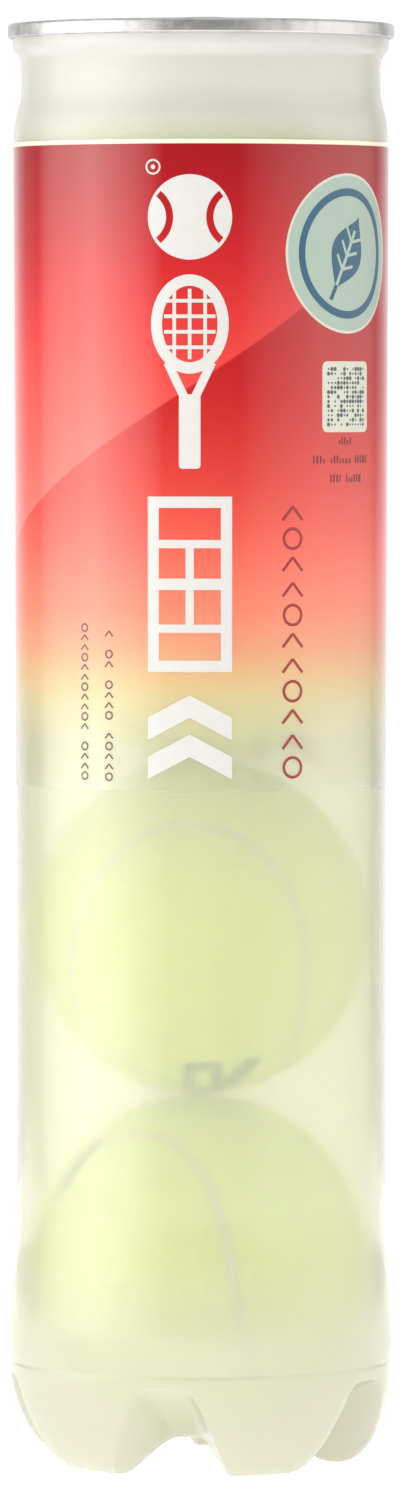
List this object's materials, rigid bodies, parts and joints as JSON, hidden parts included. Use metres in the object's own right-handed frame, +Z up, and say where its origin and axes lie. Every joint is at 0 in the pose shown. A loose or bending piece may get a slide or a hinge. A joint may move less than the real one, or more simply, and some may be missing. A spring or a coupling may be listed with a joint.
{
  "type": "tennis ball can",
  "caption": "Tall pressurised can for tennis balls: clear moulded body on feet, wrapped label, seamed metal end with ring pull, felt balls inside.",
  "frame": {"origin": "on the can's axis, in the plane its feet stand on", "axes": "+Z up along the can's axis; -Y is the front of the label, +X is to the right seen from the front"},
  "size_m": [0.0762, 0.0762, 0.2856],
  "materials": {
    "can_plastic": "frosted translucent blow-moulded polyester",
    "label_film": "printed film, red fading to clear",
    "label_glue": "dried adhesive",
    "end_metal": "lacquered sheet, fine rolling lines",
    "seal_rubber": "sealing compound",
    "ball_rubber": "moulded rubber",
    "ball_felt": "napped felt",
    "ball_seam": "rubber seam adhesive"
  },
  "bodies": {
    "can": {"can_body": "can_plastic", "label_sleeve": "label_film", "label_glue_strip": "label_glue", "end_ring": "end_metal", "seam_compound": "seal_rubber"},
    "panel": {"tear_panel": "end_metal", "tab_tongue": "end_metal"},
    "tab": {"pull_tab": "end_metal"},
    "ball_1": {"ball_1_core_lower": "ball_rubber", "ball_1_core_upper": "ball_rubber", "ball_1_felt_a": "ball_felt", "ball_1_felt_b": "ball_felt", "ball_1_seam": "ball_seam"},
    "ball_2": {"ball_2_core_lower": "ball_rubber", "ball_2_core_upper": "ball_rubber", "ball_2_felt_a": "ball_felt", "ball_2_felt_b": "ball_felt", "ball_2_seam": "ball_seam"},
    "ball_3": {"ball_3_core_lower": "ball_rubber", "ball_3_core_upper": "ball_rubber", "ball_3_felt_a": "ball_felt", "ball_3_felt_b": "ball_felt", "ball_3_seam": "ball_seam"},
    "ball_4": {"ball_4_core_lower": "ball_rubber", "ball_4_core_upper": "ball_rubber", "ball_4_felt_a": "ball_felt", "ball_4_felt_b": "ball_felt", "ball_4_seam": "ball_seam"}
  },
  "joints": [
    {"name": "panel_lift", "type": "slide", "parent": "can", "child": "panel", "axis": [0, 0, 1], "range_m": [0, 0.34]},
    {"name": "tab_lift", "type": "hinge", "parent": "panel", "child": "tab", "pos_m": [-0.00815, 0.03041, 0.27977], "axis": [-0.9659, -0.2588, 0], "range_deg": [0, 80]},
    {"name": "ball_1_out", "type": "slide", "parent": "can", "child": "ball_1", "axis": [0, 0, 1], "range_m": [0, 0.29]},
    {"name": "ball_2_out", "type": "slide", "parent": "can", "child": "ball_2", "axis": [0, 0, 1], "range_m": [0, 0.3]},
    {"name": "ball_3_out", "type": "slide", "parent": "can", "child": "ball_3", "axis": [0, 0, 1], "range_m": [0, 0.31]},
    {"name": "ball_4_out", "type": "slide", "parent": "can", "child": "ball_4", "axis": [0, 0, 1], "range_m": [0, 0.32]}
  ],
  "couplings": [
    {"joint": "ball_1_out", "follows": "panel_lift", "ratio": 0.8529},
    {"joint": "ball_2_out", "follows": "panel_lift", "ratio": 0.8823},
    {"joint": "ball_3_out", "follows": "panel_lift", "ratio": 0.9117},
    {"joint": "ball_4_out", "follows": "panel_lift", "ratio": 0.9411}
  ]
}
